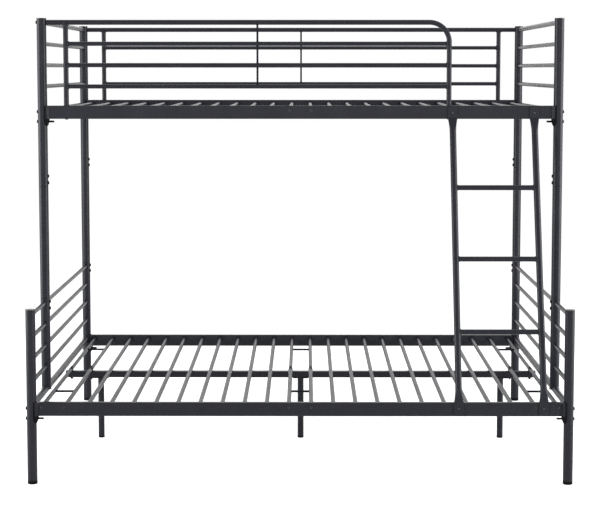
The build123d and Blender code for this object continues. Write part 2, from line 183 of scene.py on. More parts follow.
# Ladder
ladder_centre_x = post_x - 245.2
ladder_spacing = 307.4
stile_xs = (ladder_centre_x - ladder_spacing / 2, ladder_centre_x + ladder_spacing / 2)
stile_r = 12.2
stile_top_z = upper_rail_z + 23.0
stile_foot_z = lower_rail_z + 29.0
plate_width = 35.0
plate_thick = 4.0
plate_length = 23.0
upper_plate_reach = 24.0
lower_plate_reach = 26.0
plate_tip = [  # distance from the tip, share of the plate's width
    (0.0, 0.74),
    (0.5, 0.83),
    (1.6, 0.91),
    (3.4, 0.97),
    (6.0, 1.0),
    (14.0, 1.0),
]
plate_squareness = 6.0
crimp_length = 58.0
crimp_steps = 14
crimp_power = 2.2
crimp_straight_share = 0.12
crimp_lean_share = 0.9
rung_r = 9.5
rung_count = 3
rung_pitch = 257.6
lowest_rung_z = 547.2
rung_zs = [lowest_rung_z + rung_pitch * i for i in range(rung_count)]

# Caps and feet
foot_height = 7.0
sleeve_top = 12.5
plug_r = 15.9
plug_tip_r = 15.4
plug_length = 8.0
cap_height = 4.5
cap_r = post_r + 0.7
cap_edge = 1.2

# Bolts and screws, with the radius and height of each kind's head
frame_head = (6.25, 3.8)
step_head = (5.0, 2.6)
slat_head = (4.6, 2.2)
tie_head = (5.4, 2.8)
leg_plate_head = (5.0, 2.8)
guard_foot_head = (6.0, 2.8)
head_rim = 0.5
dome_steps = 6
dome_r_share = 0.34
dome_height_share = 0.62
dome_top_share = 0.50
socket_share = 0.42
socket_depth = 2.2
head_sunk = 0.4
screw_sunk = 0.2
step_head_sunk = 0.1
thread_root_share = 0.86
shank_r = 4.0
shank_pitch = 1.25
tie_shank_r = 3.0
tie_pitch = 1.0
tie_y = 6.0
tie_head_sunk = 0.6
tie_washer = [(0, 0), (7.0, 0), (7.3, 0.3), (7.3, 1.2), (7.0, 1.5), (0, 1.5)]
tie_nut_drop = 1.3
tie_end_drop = 6.5
tie_end_length = 4.5
nut_flats = 11.0
nut_height = 5.6
rail_bolt_rises = (-10.0, 27.0)
rail_bolt_far = 40.0
rail_bolt_thread = 22.0
joint_bolt_rises = (12.5, 38.0)

# Weld beads: radii, and ripples as share of wave, share of drift and how quickly the drift changes
bar_bead = 1.7
end_rail_bead = 2.0
guard_upright_bead = 2.3
guard_bar_bead = 2.2
leg_bead = 1.6
rail_bead = 1.5
wire_bead = 0.9
rod_bead = 0.8
round_ripple = (0.10, 0.14, 0.35)
straight_ripple = (0.12, 0.18, 0.4)
bead_rise_share = 0.25
bead_lean = 0.8
bead_end_share = 0.35
rail_bead_y = rail_thick / 2 - 0.3
rail_bead_gap = 3.0
rail_bead_steps = 26

# Sides of the round shapes
post_sides = 48
stile_sides = 40
head_sides = 36
leg_foot_sides = 36
stout_sides = 32
tube_sides = 28
bar_sides = 24
thread_sides = 20
thin_sides = 14
bead_sides = 7
bead_steps = 44

X, Y, Z = Vector((1, 0, 0)), Vector((0, 1, 0)), Vector((0, 0, 1))
sharp_angle = math.radians(38)
point_r = 1e-6


class Piece:
    """Gathers one piece's faces in millimetres and turns them into an object."""

    def __init__(self):
        self.points = []
        self.faces = []

    def ring(self, points):
        first = len(self.points)
        self.points += [Vector(p) for p in points]
        return list(range(first, len(self.points)))

    def join(self, low, high):
        if len(low) == 1 or len(high) == 1:
            tip, rim = (low[0], high) if len(low) == 1 else (high[0], low)
            for i in range(len(rim)):
                self.faces.append((rim[i], rim[(i + 1) % len(rim)], tip))
            return
        for i in range(len(low)):
            k = (i + 1) % len(low)
            self.faces.append((low[i], low[k], high[k], high[i]))

    def loft(self, rings, loop=False):
        made = [self.ring(points) for points in rings]
        for low, high in zip(made, made[1:]):
            self.join(low, high)
        if loop:
            self.join(made[-1], made[0])
            return
        for end in (made[0], made[-1]):
            if len(end) > 2:
                self.faces.append(tuple(end))

    def done(self, name, material, slot, replaces=()):
        mesh = bpy.data.meshes.new(name)
        mesh.from_pydata([p * 0.001 for p in self.points], [], self.faces)
        work = bmesh.new()
        work.from_mesh(mesh)
        bmesh.ops.recalc_face_normals(work, faces=work.faces)
        work.to_mesh(mesh)
        work.free()
        mesh.shade_smooth()
        mesh.set_sharp_from_angle(angle=sharp_angle)
        mesh.materials.append(material)
        piece = bpy.data.objects.new(name, mesh)
        bpy.context.scene.collection.objects.link(piece)
        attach(piece, "root")
        if replaces:
            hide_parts(*replaces)


# Shapes

def across(direction):
    """Two directions square to this one."""
    side = direction.cross(Z if abs(direction.z) < 0.9 else X).normalized()
    return side, direction.cross(side).normalized()


def heading(line, i, loop=False):
    """The way that a line of points runs at one of them."""
    if loop:
        return (line[(i + 1) % len(line)] - line[i - 1]).normalized()
    return (line[min(i + 1, len(line) - 1)] - line[max(i - 1, 0)]).normalized()


def spoke(centre, u, v, radius, turn):
    """A point at this distance from the centre, turned from u towards v."""
    return centre + u * (radius * math.cos(turn)) + v * (radius * math.sin(turn))


def circle(centre, u, v, radius, count):
    return [spoke(centre, u, v, radius, math.tau * i / count) for i in range(count)]


def lathe(piece, base, axis, profile, count, loop=False):
    """Turns (radius, height) pairs round an axis."""
    u, v = across(axis)
    rings = []
    for radius, height in profile:
        centre = base + axis * height
        rings.append([centre] if radius < point_r else circle(centre, u, v, radius, count))
    piece.loft(rings, loop)


def cope(start, way, seat):
    """How far along the line the seat is left behind.

    A seat is the round tube that a bar meets: a point on its axis, the axis and its radius.
    """
    centre, axis, radius = seat
    gap = start - centre
    gap -= axis * gap.dot(axis)
    run = way - axis * way.dot(axis)
    a, b, c = run.length_squared, gap.dot(run), gap.length_squared - radius * radius
    return (math.sqrt(max(b * b - a * c, 0)) - b) / a


def bar(piece, start, end, radius, seats=(None, None), count=bar_sides, sunk=bar_sunk):
    """A straight round bar, each end square or coped to the tube it meets."""
    way = (end - start).normalized()
    u, v = across(way)
    rings = []
    for point, direction, seat in ((start, way, seats[0]), (end, -way, seats[1])):
        ring = circle(point, u, v, radius, count)
        if seat:
            tight = (seat[0], seat[1], seat[2] - sunk)
            ring = [p + direction * cope(p, direction, tight) for p in ring]
        rings.append(ring)
    piece.loft(rings)


def swell(point, i, size, ripple):
    """The radius of a bead of weld at one point of its line."""
    wave, drift, grain = ripple
    return size * (1 + wave * math.cos(math.pi * i) + drift * noise.noise(point * grain))


def weld(piece, start, way, radius, seat, size=bar_bead):
    """A bead of weld round the end of a bar, laid in small ripples."""
    centre, axis, _ = seat
    u, v = across(way)
    line, outward = [], []
    for p in circle(start, u, v, radius, bead_steps):
        hit = p + way * cope(p, way, seat)
        off = hit - centre
        off -= axis * off.dot(axis)
        lean = ((p - start).normalized() + off.normalized() * bead_lean).normalized()
        line.append(hit + lean * size * bead_rise_share)
        outward.append(lean)
    rings = []
    for i, p in enumerate(line):
        second = heading(line, i, True).cross(outward[i]).normalized()
        rings.append(circle(p, outward[i], second, swell(p, i, size, round_ripple), bead_sides))
    piece.loft(rings, True)


def seam(piece, line, size, ripple, loop=False):
    """A bead of weld along a line of points, thin at its ends or closed in a ring."""
    rings = []
    for i, p in enumerate(line):
        u, v = across(heading(line, i, loop))
        radius = swell(p, i, size, ripple)
        if not loop and i in (0, len(line) - 1):
            radius *= bead_end_share
        rings.append(circle(p, u, v, radius, bead_sides))
    piece.loft(rings, loop)


def welded_bar(piece, start, end, radius, seats, count=bar_sides, size=bar_bead):
    """A bar with a bead of weld at each end that meets a tube."""
    bar(piece, start, end, radius, seats, count)
    way = (end - start).normalized()
    for point, direction, seat in ((start, way, seats[0]), (end, -way, seats[1])):
        if seat:
            weld(piece, point, direction, radius, seat, size)


def follow(piece, line, radius, side):
    """A round tube along a line of points that lies square to side."""
    rings = []
    for i, p in enumerate(line):
        along = heading(line, i)
        u = (side - along * side.dot(along)).normalized()
        rings.append(circle(p, u, along.cross(u), radius, tube_sides))
    piece.loft(rings)


def oblong(width, height, corner):
    """Outline of a rounded oblong, with a point close to each corner to keep its faces flat."""
    steps, beside = 5, 0.35
    points = []
    half_w, half_h = width / 2 - corner, height / 2 - corner
    for k, (sx, sy) in enumerate(((1, 1), (-1, 1), (-1, -1), (1, -1))):
        x, y = sx * half_w, sy * half_h
        turns = [math.pi / 2 * (k + i / steps) for i in range(steps + 1)]
        arc = [(x + corner * math.cos(t), y + corner * math.sin(t)) for t in turns]
        first, last = turns[0], turns[-1]
        points.append((arc[0][0] + math.sin(first) * beside, arc[0][1] - math.cos(first) * beside))
        points += arc
        points.append((arc[-1][0] - math.sin(last) * beside, arc[-1][1] + math.cos(last) * beside))
    return points


def box_tube(piece, middle, half_length, outline, ease=0.0):
    """A rail along X with the given section; ease adds a ring that far from each end."""
    stops = [half_length - ease, half_length] if ease else [half_length]
    stops = [-x for x in reversed(stops)] + stops
    piece.loft([[middle + X * x + Y * a + Z * b for a, b in outline] for x in stops])


# Materials

def nodes_of(owner):
    owner.use_nodes = True
    tree = owner.node_tree
    tree.nodes.clear()
    return tree


def link(tree, source, target):
    tree.links.new(source, target)


def noise_field(tree, coords, scale, detail=4.0, roughness=0.55):
    field = tree.nodes.new("ShaderNodeTexNoise")
    field.inputs["Scale"].default_value = scale
    field.inputs["Detail"].default_value = detail
    field.inputs["Roughness"].default_value = roughness
    link(tree, coords, field.inputs["Vector"])
    return field.outputs["Fac"]


def spread(tree, value, low, high, to_low, to_high):
    ramp = tree.nodes.new("ShaderNodeMapRange")
    ramp.inputs["From Min"].default_value = low
    ramp.inputs["From Max"].default_value = high
    ramp.inputs["To Min"].default_value = to_low
    ramp.inputs["To Max"].default_value = to_high
    link(tree, value, ramp.inputs["Value"])
    return ramp.outputs["Result"]


def blend_colours(tree, factor, first, second):
    mix = tree.nodes.new("ShaderNodeMix")
    mix.data_type = "RGBA"
    for socket, colour in ((mix.inputs[6], first), (mix.inputs[7], second)):
        if isinstance(colour, tuple):
            socket.default_value = (*colour, 1)
        else:
            link(tree, colour, socket)
    link(tree, factor, mix.inputs[0])
    return mix.outputs[2]


def combine(tree, operation, first, second, kind="ShaderNodeMath"):
    made = tree.nodes.new(kind)
    made.operation = operation
    link(tree, first, made.inputs[0])
    link(tree, second, made.inputs[1])
    return made


# Scales in waves per metre and lengths in metres
cloud_scale = 9.0
patch_scale = 55.0
smear_scale = 26.0
speck_scale_share = 0.6
speck_tone_share = 0.72
# Tone and reach of the painted shade in corners, crevices and joints
painted_shade_tone_share = 0.25
painted_shade_reach = 0.010
rubbed_width = 0.0016


def coat(name, base, light, worn, rough, grain_scale, grain_depth, specular=0.12, wear=0.5):
    """A coating with cloudy colour, a fine grain, edges rubbed lighter, and painted shade that
    darkens its corners and crevices.
    """
    material = bpy.data.materials.new(name)
    tree = nodes_of(material)
    output = tree.nodes.new("ShaderNodeOutputMaterial")
    shader = tree.nodes.new("ShaderNodeBsdfPrincipled")
    link(tree, shader.outputs[0], output.inputs[0])
    coords = tree.nodes.new("ShaderNodeTexCoord").outputs["Object"]

    cloud = noise_field(tree, coords, cloud_scale, 5.0)
    speck = noise_field(tree, coords, grain_scale * speck_scale_share, 2.0)
    colour = blend_colours(tree, spread(tree, cloud, 0.35, 0.65, 0.0, 1.0), base, light)
    dark = tuple(c * speck_tone_share for c in base)
    colour = blend_colours(tree, spread(tree, speck, 0.42, 0.36, 0.0, 0.5), colour, dark)

    bevel = tree.nodes.new("ShaderNodeBevel")
    bevel.samples = 4
    bevel.inputs["Radius"].default_value = rubbed_width
    shape = tree.nodes.new("ShaderNodeNewGeometry")
    facing = combine(
        tree, "DOT_PRODUCT", bevel.outputs[0], shape.outputs["Normal"], "ShaderNodeVectorMath"
    )
    edge = spread(tree, facing.outputs["Value"], 0.995, 0.86, 0.0, 1.0)
    patch = spread(tree, noise_field(tree, coords, patch_scale, 5.0, 0.7), 0.48, 0.62, 0.0, wear)
    rubbed = combine(tree, "MULTIPLY", edge, patch)
    colour = blend_colours(tree, rubbed.outputs[0], colour, worn)

    # Painted shade: ambient occlusion darkens the colour in corners, crevices and joints, where
    # shade falls
    painted_shade_ao = tree.nodes.new("ShaderNodeAmbientOcclusion")
    painted_shade_ao.samples = 8
    painted_shade_ao.inputs["Distance"].default_value = painted_shade_reach
    unshaded_share = spread(tree, painted_shade_ao.outputs["AO"], 0.45, 0.95, 0.0, 1.0)
    colour = blend_colours(tree, unshaded_share, tuple(c * painted_shade_tone_share for c in base), colour)
    link(tree, colour, shader.inputs["Base Color"])

    smear = noise_field(tree, coords, smear_scale, 4.0, 0.6)
    link(tree, spread(tree, smear, 0.3, 0.7, *rough), shader.inputs["Roughness"])
    shader.inputs["Specular IOR Level"].default_value = specular

    grain = noise_field(tree, coords, grain_scale, 3.0, 0.6)
    bump = tree.nodes.new("ShaderNodeBump")
    bump.inputs["Strength"].default_value = 0.35
    bump.inputs["Distance"].default_value = grain_depth
    link(tree, grain, bump.inputs["Height"])
    link(tree, bump.outputs[0], shader.inputs["Normal"])
    return material


steel = coat(
    "frame_powder_coat",
    base=(0.0118, 0.0123, 0.0167),
    light=(0.0150, 0.0156, 0.0206),
    worn=(0.050, 0.051, 0.062),
    rough=(0.24, 0.33),
    grain_scale=780.0,
    grain_depth=0.000016,
)
screw_coat = coat(
    "screw_powder_coat",
    base=(0.0115, 0.0125, 0.0175),
    light=(0.0150, 0.0160, 0.0220),
    worn=(0.12, 0.12, 0.13),
    rough=(0.20, 0.30),
    grain_scale=1500.0,
    grain_depth=0.00005,
    specular=0.4,
)
# A copy of the frame coat for the thin wires and rods: its darker colour is painted shade, and it is
# rougher and less glossy
shaded_wire_coat = coat(
    "wire_powder_coat_painted_shade",
    base=(0.0100, 0.0105, 0.0150),
    light=(0.0130, 0.0140, 0.0190),
    worn=(0.040, 0.042, 0.050),
    rough=(0.50, 0.62),
    grain_scale=900.0,
    grain_depth=0.00006,
    specular=0.02,
)
bolt_steel = coat(
    "bolt_black_steel",
    base=(0.0050, 0.0050, 0.0058),
    light=(0.0080, 0.0080, 0.0088),
    worn=(0.05, 0.05, 0.052),
    rough=(0.42, 0.56),
    grain_scale=1500.0,
    grain_depth=0.00005,
    specular=0.05,
    wear=0.8,
)
plastic = coat(
    "moulded_black_plastic",
    base=(0.0045, 0.0045, 0.0050),
    light=(0.0070, 0.0070, 0.0076),
    worn=(0.030, 0.030, 0.032),
    rough=(0.46, 0.60),
    grain_scale=1300.0,
    grain_depth=0.00008,
    specular=0.03,
    wear=0.3,
)
cap_plastic = coat(
    "cap_black_plastic",
    base=(0.0060, 0.0062, 0.0070),
    light=(0.0090, 0.0092, 0.0100),
    worn=(0.040, 0.040, 0.042),
    rough=(0.20, 0.30),
    grain_scale=1300.0,
    grain_depth=0.00005,
    specular=0.4,
    wear=0.3,
)


# End frames and posts

def eased_wall(low, high):
    """The outer face of a post tube, with eased ends, as (radius, height) pairs."""
    return [
        (post_r - tube_lip, low),
        (post_r, low + tube_lip),
        (post_r, low + tube_lip * 3),
        (post_r, high - tube_lip * 3),
        (post_r, high - tube_lip),
        (post_r - tube_lip, high),
    ]


def post_tube(piece, x, y, low, high):
    profile = [(post_bore_r, low), *eased_wall(low, high), (post_bore_r, high)]
    lathe(piece, Vector((x, y, 0)), Z, profile, post_sides, True)


def end_frames():
    for side_name, side in sides.items():
        x = side * post_x
        posts = {y: (Vector((x, y, 0)), Z, post_r) for y in (full_front_y, twin_front_y, rear_y)}

        upper = Piece()
        for y in (twin_front_y, rear_y):
            post_tube(upper, x, y, upper_seam_z, upper_post_top_z)
        tubes = [(z, end_bar_r) for z in upper_bar_zs]
        tubes += [(guard_top_z, top_bar_r), (upper_end_rail_z, end_rail_r)]
        for z, radius in tubes:
            ends = Vector((x, twin_front_y, z)), Vector((x, rear_y, z))
            welded_bar(upper, *ends, radius, (posts[twin_front_y], posts[rear_y]), tube_sides)
        node = f"upper_{side_name}_end_frame"
        upper.done(node + "_tubes", steel, "frame_steel", [node])

        lower = Piece()
        post_tube(lower, x, full_front_y, sleeve_top, short_post_top_z)
        post_tube(lower, x, rear_y, sleeve_top, lower_seam_z)
        stub_foot = lower_end_rail_z + end_rail_r * stub_seat_share
        post_tube(lower, x, twin_front_y, stub_foot, lower_seam_z)
        ends = Vector((x, full_front_y, lower_end_rail_z)), Vector((x, rear_y, lower_end_rail_z))
        seats = posts[full_front_y], posts[rear_y]
        welded_bar(lower, *ends, end_rail_r, seats, stout_sides, end_rail_bead)
        end_rail = (ends[0], Y, end_rail_r)
        weld(lower, Vector((x, twin_front_y, lower_end_rail_z)), Z, post_r, end_rail, end_rail_bead)
        for z in lower_bar_zs:
            for y_from, y_to in ((full_front_y, twin_front_y), (twin_front_y, rear_y)):
                ends = Vector((x, y_from, z)), Vector((x, y_to, z))
                welded_bar(lower, *ends, end_bar_r, (posts[y_from], posts[y_to]))
        node = f"lower_{side_name}_end_frame"
        lower.done(node + "_tubes", steel, "frame_steel", [node])


def post_extensions():
    low, high = lower_seam_z, upper_seam_z
    profile = [
        (spigot_r - spigot_wall, low - spigot_length),
        (spigot_r, low - spigot_length),
        (spigot_r, low),
        *eased_wall(low, high),
        (spigot_r, high),
        (spigot_r, high + spigot_length),
        (spigot_r - spigot_wall, high + spigot_length),
    ]
    for side_name, side in sides.items():
        for row, y in (("front", twin_front_y), ("rear", rear_y)):
            piece = Piece()
            lathe(piece, Vector((side * post_x, y, 0)), Z, profile, post_sides, True)
            node = f"{row}_{side_name}_post_extension"
            piece.done(node + "_tube", steel, "frame_steel", [node])


# Side rails

def at_post(side, y, z, outline):
    """An outline of depths and half widths, laid beside the post, inside the bed."""
    return [Vector((side * (post_x - a), y + b, z)) for a, b in outline]


def saddle_plate(piece, side, y, rail_z):
    """A welded end plate that wraps towards the post, over its plastic seat."""
    outline = [*saddle_plate_side, *((a, -b) for a, b in saddle_plate_side[::-1])]
    outline += saddle_plate_hollow
    rings = []
    for rise, trim in saddle_plate_levels:
        share = 1 - trim / saddle_half
        rings.append(at_post(side, y, rail_z + rise, [(a, b * share) for a, b in outline]))
    piece.loft(rings)


def saddle_seat(piece, side, y, rail_z):
    """A moulded seat that hugs the post, with a chin that tapers below the rail."""
    hug_r, hug_steps = post_r + 0.1, 20
    rings = []
    for rise, depth, half in saddle_seat_levels:
        wrap = math.asin((half - 0.9) / hug_r)
        lip = hug_r * math.cos(wrap)
        turns = [wrap - 2 * wrap * i / hug_steps for i in range(hug_steps + 1)]
        hug = [(hug_r * math.cos(t), hug_r * math.sin(t)) for t in turns]
        back = [(lip + 0.4, half), (min(lip + 4.4, depth - 0.5), half)]
        if rise > -0.4:
            back += [(13.6, half - 0.8), (depth - 1.0, 8.0)]
        else:
            waist = min(max(lip + 4.6, depth - 5.0), depth - 0.3)
            back += [(waist, half - 0.8), (depth - 0.2, half - 6.5)]
        outline = hug + [(a, -b) for a, b in back] + [(depth, 0)] + back[::-1]
        rings.append(at_post(side, y, rail_z + rise, outline))
    piece.loft(rings)


def side_rails():
    rows = {
        "upper_front": (twin_front_y, upper_rail_z),
        "upper_rear": (rear_y, upper_rail_z),
        "lower_front": (full_front_y, lower_rail_z),
        "lower_rear": (rear_y, lower_rail_z),
    }
    outline = oblong(rail_thick, rail_height, rail_corner)
    bead_run = rail_height - rail_bead_gap * 2
    bead_rises = [rail_bead_gap + bead_run * i / rail_bead_steps for i in range(rail_bead_steps + 1)]
    seats = Piece()
    for name, (y, z) in rows.items():
        piece = Piece()
        box_tube(piece, Vector((0, y, z + rail_height / 2)), rail_end_x, outline, rail_end_ease)
        for side in sides.values():
            saddle_plate(piece, side, y, z)
            for face in (-1, 1):
                at = side * rail_end_x, y + face * rail_bead_y
                line = [Vector((*at, z + rise)) for rise in bead_rises]
                seam(piece, line, rail_bead, straight_ripple)
            saddle_seat(seats, side, y, z)
        piece.done(name + "_side_rail_tube", steel, "frame_steel", [name + "_side_rail"])
    seats.done("saddle_seats", plastic, "plastic")


# Slats and cross frames

def slat(piece, x, y_from, z, radius=slat_r):
    bar(piece, Vector((x, y_from, z)), Vector((x, rear_y - rail_thick / 2 + slat_sunk, z)), radius)


def slats():
    upper_start = twin_front_y + rail_thick / 2 - slat_sunk
    lower_start = full_front_y + rail_thick / 2 - slat_sunk
    lower, upper = Piece(), Piece()
    for i, x in enumerate(slat_xs):
        slat(upper, x, upper_start, upper_slat_z)
        if i not in paired_slats:
            slat(lower, x, lower_start, lower_slat_z)
    upper.done("upper_slat_tubes", steel, "frame_steel", ["upper_slats"])
    lower.done("lower_slat_tubes", steel, "frame_steel", ["lower_slats"])
    cross_frames(lower_start)


def cross_frames(start_y):
    """Three bolted pairs of slats: wide tubes in front, with thin ones that go into them behind."""
    length = telescope_seam_y - start_y
    wide = [
        (0, 0),
        (slat_r, 0),
        (slat_r, length - telescope_lip * 3),
        (slat_r, length - telescope_lip),
        (slat_r - telescope_lip * 0.6, length),
        (inner_slat_r + telescope_gap, length),
        (inner_slat_r + telescope_gap, length - telescope_bore),
        (0, length - telescope_bore),
    ]
    wires = Piece()
    for name, pair in frame_pairs.items():
        front, rear = Piece(), Piece()
        for i in pair:
            lathe(front, Vector((slat_xs[i], start_y, lower_slat_z)), Y, wide, bar_sides)
            slat(rear, slat_xs[i], telescope_seam_y - telescope_reach, lower_slat_z, inner_slat_r)
        for y, radius in ((-wire_y, slat_r), (wire_y, inner_slat_r)):
            ends = [Vector((slat_xs[i], y, lower_slat_z)) for i in pair]
            seats = [(end, Y, radius) for end in ends]
            welded_bar(wires, *ends, wire_r, seats, thin_sides, wire_bead)
        node = f"{name}_cross_frame_"
        front.done(node + "front_tubes", steel, "frame_steel", [node + "front"])
        rear.done(node + "rear_tubes", steel, "frame_steel", [node + "rear"])
    wires.done("cross_frame_wires", shaded_wire_coat, "frame_steel")

    collar = [
        (slat_r - 0.2, 0.3),
        (slat_r + 0.5, 0),
        (slat_r + 0.9, 0.5),
        (slat_r + 0.9, 19.6),
        (slat_r + 0.6, 20.6),
        (inner_slat_r + 0.3, 21.2),
        (inner_slat_r + 0.1, 20.8),
        (inner_slat_r + 0.1, 17.2),
        (slat_r - 0.2, 17.2),
    ]
    collars = Piece()
    for i in paired_slats:
        base = Vector((slat_xs[i], telescope_seam_y - collar_reach, lower_slat_z))
        lathe(collars, base, Y, collar, tube_sides, True)
    collars.done("telescope_collars", plastic, "plastic")


# Centre rail and legs

def centre_support():
    rail = Piece()
    outline = oblong(centre_rail_side, centre_rail_side, centre_rail_corner)
    box_tube(rail, Vector((0, 0, centre_rail_z + centre_rail_side / 2)), centre_rail_half, outline)
    rail.done("centre_rail_tube", steel, "frame_steel", ["centre_rail"])

    plugs = Piece()
    for side in sides.values():
        rings = []
        for run, trim in plug_levels:
            span = centre_rail_side + plug_brim * 2 - trim * 2
            corner = max(plug_corner - trim * 0.5, 1.0)
            at = Vector((side * (centre_rail_half + run), 0, centre_rail_z + centre_rail_side / 2))
            rings.append([at + Y * a + Z * b for a, b in oblong(span, span, corner)])
        plugs.loft(rings)
    plugs.done("centre_rail_end_plugs", plastic, "plastic")

    top, under = centre_rail_z, centre_rail_z - leg_plate_thick
    ease = leg_plate_ease
    levels = ((under, ease), (under + ease, 0.0), (top - ease, 0.0), (top, ease))
    outline = oblong(leg_plate_length, leg_plate_width, leg_plate_corner)
    for name, x in leg_xs.items():
        leg = Piece()
        rings = []
        for z, trim in levels:
            scale_x, scale_y = 1 - 2 * trim / leg_plate_length, 1 - 2 * trim / leg_plate_width
            rings.append([Vector((x + a * scale_x, b * scale_y, z)) for a, b in outline])
        leg.loft(rings)
        ends = Vector((x, 0, foot_height)), Vector((x, 0, under + ease))
        bar(leg, *ends, leg_r, count=stout_sides)
        joint = circle(Vector((x, 0, under)), X, Y, leg_bead_line_r, bead_steps)
        seam(leg, joint, leg_bead, round_ripple, True)
        leg.done(f"{name}_centre_leg_tube", steel, "frame_steel", [f"{name}_centre_leg"])


# Guards

def guards():
    """The front guard bends down at its right end, and the rear one runs from post to post."""
    front, rods = Piece(), Piece()
    y = twin_front_y
    bend_x, bend_z = guard_end_x - guard_bend, guard_top_z - guard_bend
    line = [
        Vector((-post_x + post_r - bar_sunk, y, guard_top_z)),
        Vector((bend_x - guard_bend_lead, y, guard_top_z)),
    ]
    for i in range(guard_bend_steps + 1):
        turn = math.pi / 2 * i / guard_bend_steps
        x = bend_x + guard_bend * math.sin(turn)
        line.append(Vector((x, y, guard_top_z - guard_bend * (1 - math.cos(turn)))))
    line.append(Vector((guard_end_x, y, bend_z - guard_bend_lead)))
    line.append(Vector((guard_end_x, y, rail_top_z)))
    follow(front, line, guard_r, Y)
    rod_x = (guard_end_x - guard_upright_x) / 2
    guard_fill(front, rods, (-guard_upright_x, guard_end_x), y, rod_x, [-guard_upright_x])
    front.done("front_guard_tubes", steel, "frame_steel", ["front_guard"])

    rear = Piece()
    seats = [(Vector((side * post_x, rear_y, 0)), Z, post_r) for side in sides.values()]
    ends = [Vector((side * post_x, rear_y, guard_top_z)) for side in sides.values()]
    bar(rear, *ends, guard_r, seats, tube_sides, 0.0)
    xs = (-guard_upright_x, guard_upright_x)
    guard_fill(rear, rods, xs, rear_y, 0, xs)
    rear.done("rear_guard_tubes", steel, "frame_steel", ["rear_guard"])
    rods.done("guard_rods", shaded_wire_coat, "frame_steel")


def guard_fill(piece, rods, xs, y, rod_x, upright_xs):
    """Uprights, three bars between the outermost two, and a thin rod from bar to bar."""
    top_tube = (Vector((0, y, guard_top_z)), X, guard_r)
    for x in upright_xs:
        ends = Vector((x, y, guard_top_z)), Vector((x, y, rail_top_z))
        welded_bar(piece, *ends, guard_r, (top_tube, None), tube_sides, guard_upright_bead)
    seats = [(Vector((x, y, 0)), Z, guard_r) for x in xs]
    for z in upper_bar_zs:
        ends = [Vector((x, y, z)) for x in xs]
        welded_bar(piece, *ends, end_bar_r, seats, bar_sides, guard_bar_bead)
    tubes = [(Vector((0, y, z)), X, end_bar_r) for z in upper_bar_zs] + [top_tube]
    for seats in zip(tubes, tubes[1:]):
        ends = [Vector((rod_x, y, seat[0].z)) for seat in seats]
        welded_bar(rods, *ends, rod_r, seats, thin_sides, rod_bead)


# Ladder

plate_out = (rail_thick + plate_thick) / 2
upper_bend = Vector((0, twin_front_y - plate_out, stile_top_z - plate_length))
lower_bend = Vector((0, full_front_y - plate_out, stile_foot_z + plate_length))
stile_lean = (upper_bend - lower_bend).normalized()


def stile_end(start, inward, straight, reach):
    """One end of a stile, from the tip of its plate to where the tube is round.

    Each step is a point, the share of the plate's width, and how round the section is.
    """
    steps = []
    for back, narrow in plate_tip:
        steps.append((start - straight * (plate_length + reach - back), narrow, 0.0))
    steps.append((start - straight * plate_length * 0.5, 1.0, 0.0))
    for i in range(crimp_steps + 1):
        share = i / crimp_steps
        bent = start + straight * (crimp_length * crimp_straight_share * share)
        bent += inward * (crimp_length * share * crimp_lean_share)
        point = bent.lerp(start + inward * crimp_length * share, share)
        steps.append((point, 1.0, 1 - (1 - share) ** crimp_power))
    return steps


def pressed_ring(point, along, narrow, roundness):
    """A section between a flat plate and a round tube."""
    v = along.cross(X).normalized()
    half_w = plate_width / 2 * narrow + (stile_r - plate_width / 2) * roundness
    half_t = plate_thick / 2 + (stile_r - plate_thick / 2) * roundness
    power = 2 / (2 + plate_squareness * (1 - roundness))
    ring = []
    for k in range(stile_sides):
        turn = math.tau * k / stile_sides
        c, s = math.cos(turn), math.sin(turn)
        a = math.copysign(abs(c) ** power, c) * half_w
        b = math.copysign(abs(s) ** power, s) * half_t
        ring.append(point + X * a + v * b)
    return ring


def ladder():
    upper = stile_end(upper_bend, -stile_lean, -Z, upper_plate_reach)
    lower = stile_end(lower_bend, stile_lean, Z, lower_plate_reach)
    steps = upper + lower[::-1]
    stiles = Piece()
    for x in stile_xs:
        line = [point + X * x for point, _, _ in steps]
        rings = []
        for i, (_, narrow, roundness) in enumerate(steps):
            rings.append(pressed_ring(line[i], heading(line, i), narrow, roundness))
        stiles.loft(rings)
    stiles.done("ladder_stiles", steel, "frame_steel", ["ladder"])

    rungs = Piece()
    for z in rung_zs:
        share = (z - lower_bend.z) / (upper_bend.z - lower_bend.z)
        y = lower_bend.y + (upper_bend.y - lower_bend.y) * share
        ends = [Vector((x, y, z)) for x in stile_xs]
        welded_bar(rungs, *ends, rung_r, [(end, stile_lean, stile_r) for end in ends], tube_sides)
    rungs.done("ladder_rung_tubes", steel, "frame_steel", ["ladder_rungs"])


# Caps and feet

def caps():
    profile = [
        (0, -plug_length),
        (plug_tip_r, -plug_length),
        (plug_r, -plug_length + 1),
        (plug_r, 0),
        (cap_r - 0.3, 0),
        (cap_r, 0.4),
        (cap_r, cap_height - 2.4),
    ]
    for i in range(1, dome_steps + 1):
        turn = math.pi / 2 * i / dome_steps
        rise = cap_height - 1.4 + cap_edge * math.sin(turn)
        profile.append((cap_r - cap_edge + cap_edge * math.cos(turn), rise))
    profile += [(cap_r * 0.6, cap_height - 0.1), (0, cap_height)]
    tops = {
        twin_front_y: upper_post_top_z,
        rear_y: upper_post_top_z,
        full_front_y: short_post_top_z,
    }
    piece = Piece()
    for side in sides.values():
        for y, z in tops.items():
            lathe(piece, Vector((side * post_x, y, z)), Z, profile, post_sides)
    piece.done("post_cap_plugs", cap_plastic, "plastic", ["post_caps"])


